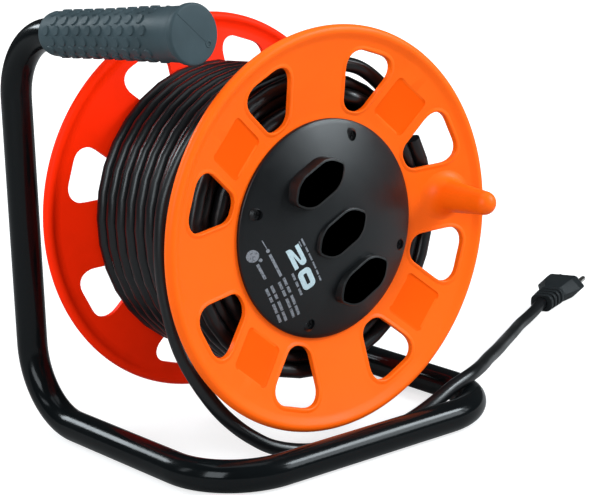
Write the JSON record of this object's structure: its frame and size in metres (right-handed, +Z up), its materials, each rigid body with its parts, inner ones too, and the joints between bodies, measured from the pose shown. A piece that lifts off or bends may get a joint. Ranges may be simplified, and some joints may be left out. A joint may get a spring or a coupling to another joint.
{
  "type": "extension cord reel",
  "caption": "Extension cord reel: windowed drum with domed socket cover and winding peg turning on the end of a bent tube stand with a grip, cord run out to a round-pin plug.",
  "frame": {"origin": "centre of the base of the stand's box, on the floor", "axes": "+Z up, the drum's axle along Y, the socket side of the drum faces -Y, +X to its right"},
  "size_m": [0.5096, 0.215, 0.2742],
  "materials": {
    "tube_enamel": "gloss black enamel",
    "grip_rubber": "soft slate grey moulding with raised pads",
    "zinc_steel": "zinc plated",
    "cord_sheath": "satin black sheath",
    "plug_rubber": "matte black",
    "nickel": "nickel plated brass",
    "orange_moulding": "semi-gloss orange moulding",
    "cover_moulding": "fine matte black moulding",
    "insulator": "matte black insulator",
    "contact_brass": "pressed brass",
    "dark_screw": "blackened steel"
  },
  "bodies": {
    "frame": {"frame_tube": "tube_enamel", "handle_grip": "grip_rubber", "axle_stop_ring": "tube_enamel", "rear_washer": "zinc_steel", "front_washer": "zinc_steel", "split_pin": "zinc_steel", "cord_lead": "cord_sheath", "plug_boot": "plug_rubber", "plug_body": "plug_rubber", "plug_pins": "nickel"},
    "drum": {"front_flange": "orange_moulding", "rear_flange": "orange_moulding", "drum_barrel": "orange_moulding", "socket_cover": "cover_moulding", "contact_carrier": "insulator", "live_contacts": "contact_brass", "neutral_contacts": "contact_brass", "earth_contacts": "contact_brass", "terminal_screws": "contact_brass", "carrier_screws": "zinc_steel", "cover_screws": "dark_screw", "front_flange_screws": "zinc_steel", "rear_flange_screws": "zinc_steel", "cord_grommet": "plug_rubber", "cord_clamp": "insulator", "clamp_screws": "zinc_steel", "cord_core": "cord_sheath", "cord_winding": "cord_sheath"}
  },
  "joints": [
    {"name": "drum_turn", "type": "hinge", "parent": "frame", "child": "drum", "pos_m": [-0.002, -0.006, 0.1345], "axis": [0, 1, 0], "continuous": true}
  ]
}
